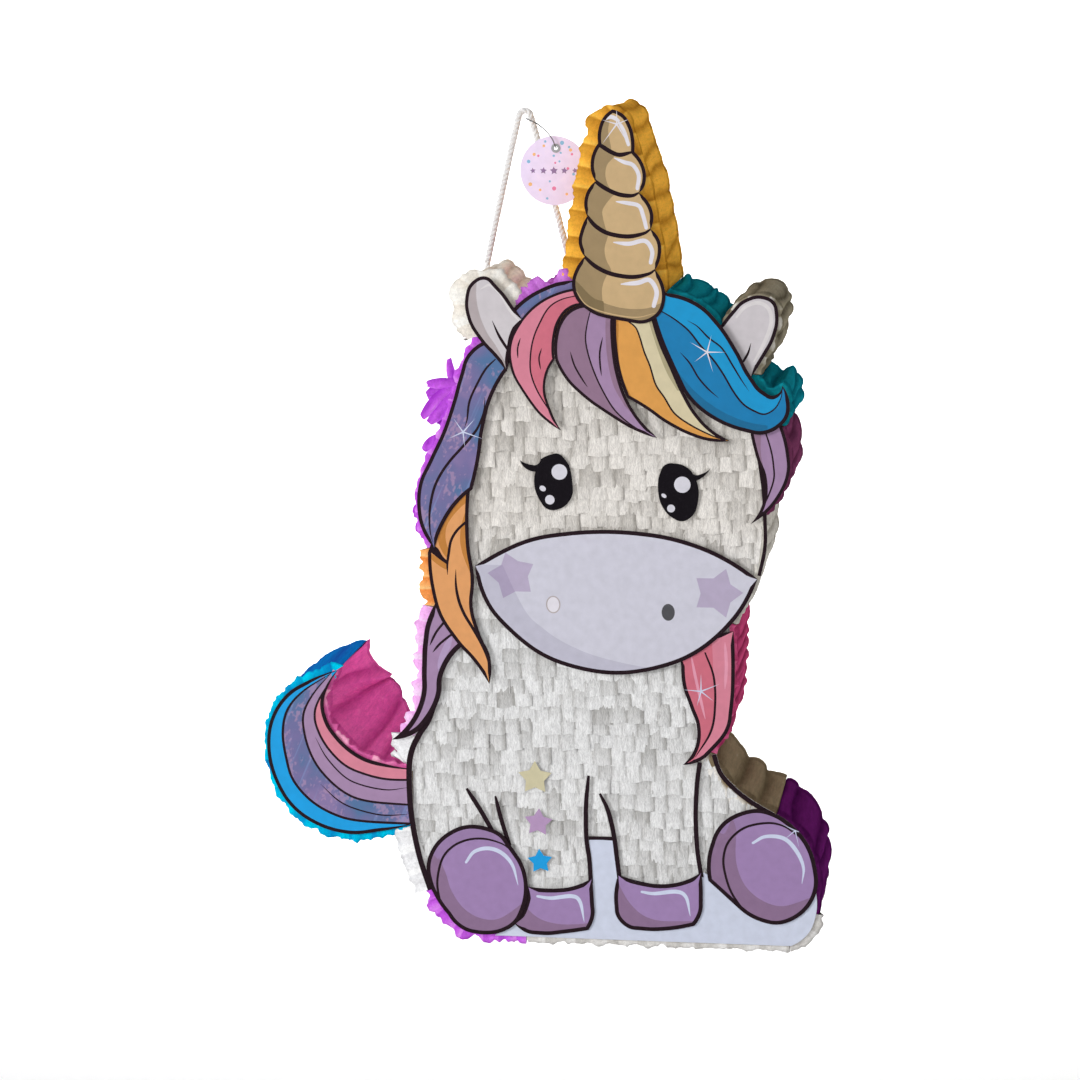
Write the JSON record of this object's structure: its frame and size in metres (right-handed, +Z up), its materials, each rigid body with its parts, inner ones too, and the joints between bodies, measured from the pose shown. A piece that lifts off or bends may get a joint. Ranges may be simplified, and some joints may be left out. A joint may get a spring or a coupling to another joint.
{
  "type": "unicorn pinata",
  "caption": "Hollow cardboard unicorn pinata with crepe fringe and trims, layered printed cards, a rope loop to hang it by and a filling flap in the back.",
  "frame": {"origin": "inner top of the rope loop, where a hook bears", "axes": "+Z up, -Y out of the printed front, +X to the right seen from the front"},
  "size_m": [0.413, 0.1024, 0.6055],
  "materials": {
    "cardboard": "matt kraft board",
    "crepe_white": "matt crepe",
    "crepe_gold": "matt crepe",
    "crepe_teal": "matt crepe",
    "crepe_plum": "matt crepe",
    "crepe_pink": "matt crepe",
    "crepe_cyan": "matt crepe",
    "crepe_magenta": "matt crepe",
    "crepe_lilac": "matt crepe",
    "crepe_orange": "matt crepe",
    "crepe_violet": "matt crepe",
    "card_horn": "printed card",
    "card_pale": "printed card",
    "card_violet": "printed card",
    "card_pink": "printed card",
    "card_lilac": "printed card",
    "card_gold": "printed card",
    "card_blue": "printed card",
    "card_orange": "printed card",
    "card_dark": "printed card",
    "card_stars": "printed card",
    "rope": "twisted cotton",
    "string": "twisted thread",
    "tag": "printed card",
    "eyelet": "satin"
  },
  "bodies": {
    "rope": {"rope_loop": "rope", "tag_string": "string"},
    "shell": {"back_fringe": "crepe_white", "back_panel": "cardboard", "belly_stars": "card_stars", "ear_left": "card_pale", "ear_right": "card_pale", "eye_left": "card_dark", "eye_right": "card_dark", "forelock_blue": "card_blue", "forelock_gold": "card_gold", "forelock_lilac": "card_lilac", "forelock_pink": "card_pink", "front_fringe": "crepe_white", "front_panel": "cardboard", "ground_card": "card_pale", "hoof_front_left": "card_lilac", "hoof_front_right": "card_lilac", "hoof_hind_left": "card_lilac", "hoof_hind_right": "card_lilac", "horn": "card_horn", "lock_lilac_low": "card_lilac", "lock_lilac_right": "card_lilac", "lock_orange": "card_orange", "lock_pink_right": "card_pink", "muzzle": "card_pale", "outline_strips": "card_dark", "rope_knots": "rope", "side_lock": "card_violet", "tail_card": "card_pink", "trim_base": "crepe_white", "trim_cheek": "crepe_white", "trim_crown_left": "crepe_violet", "trim_crown_right": "crepe_teal", "trim_ear_left": "crepe_white", "trim_ear_right": "crepe_white", "trim_forelock": "crepe_teal", "trim_haunch_left": "crepe_white", "trim_haunch_right": "crepe_white", "trim_hoof_left": "crepe_violet", "trim_hoof_right": "crepe_plum", "trim_horn": "crepe_gold", "trim_lock_lilac": "crepe_lilac", "trim_lock_orange": "crepe_orange", "trim_lock_pink": "crepe_pink", "trim_mane_left": "crepe_violet", "trim_mane_right": "crepe_plum", "trim_tail_inner": "crepe_magenta", "trim_tail_outer": "crepe_cyan", "wall_base": "cardboard", "wall_body_right": "cardboard", "wall_crown_left": "cardboard", "wall_face_right": "cardboard", "wall_horn": "cardboard", "wall_mane_left": "cardboard", "wall_tail": "cardboard"},
    "flap": {"fill_flap": "cardboard", "flap_fringe": "crepe_white"},
    "tag": {"hang_tag": "tag", "tag_eyelet": "eyelet"}
  },
  "joints": [
    {"name": "swing", "type": "hinge", "parent": "rope", "child": "shell", "pos_m": [0.0012, 0, -0.104], "axis": [1, 0, 0], "range_deg": [-30, 30]},
    {"name": "flap_hinge", "type": "hinge", "parent": "shell", "child": "flap", "pos_m": [0.048, 0.04615, -0.4], "axis": [1, 0, 0], "range_deg": [0, 90]},
    {"name": "tag_swing", "type": "hinge", "parent": "rope", "child": "tag", "pos_m": [0.0225, -0.0055, -0.0237], "axis": [0, 1, 0], "range_deg": [0, 45]}
  ]
}
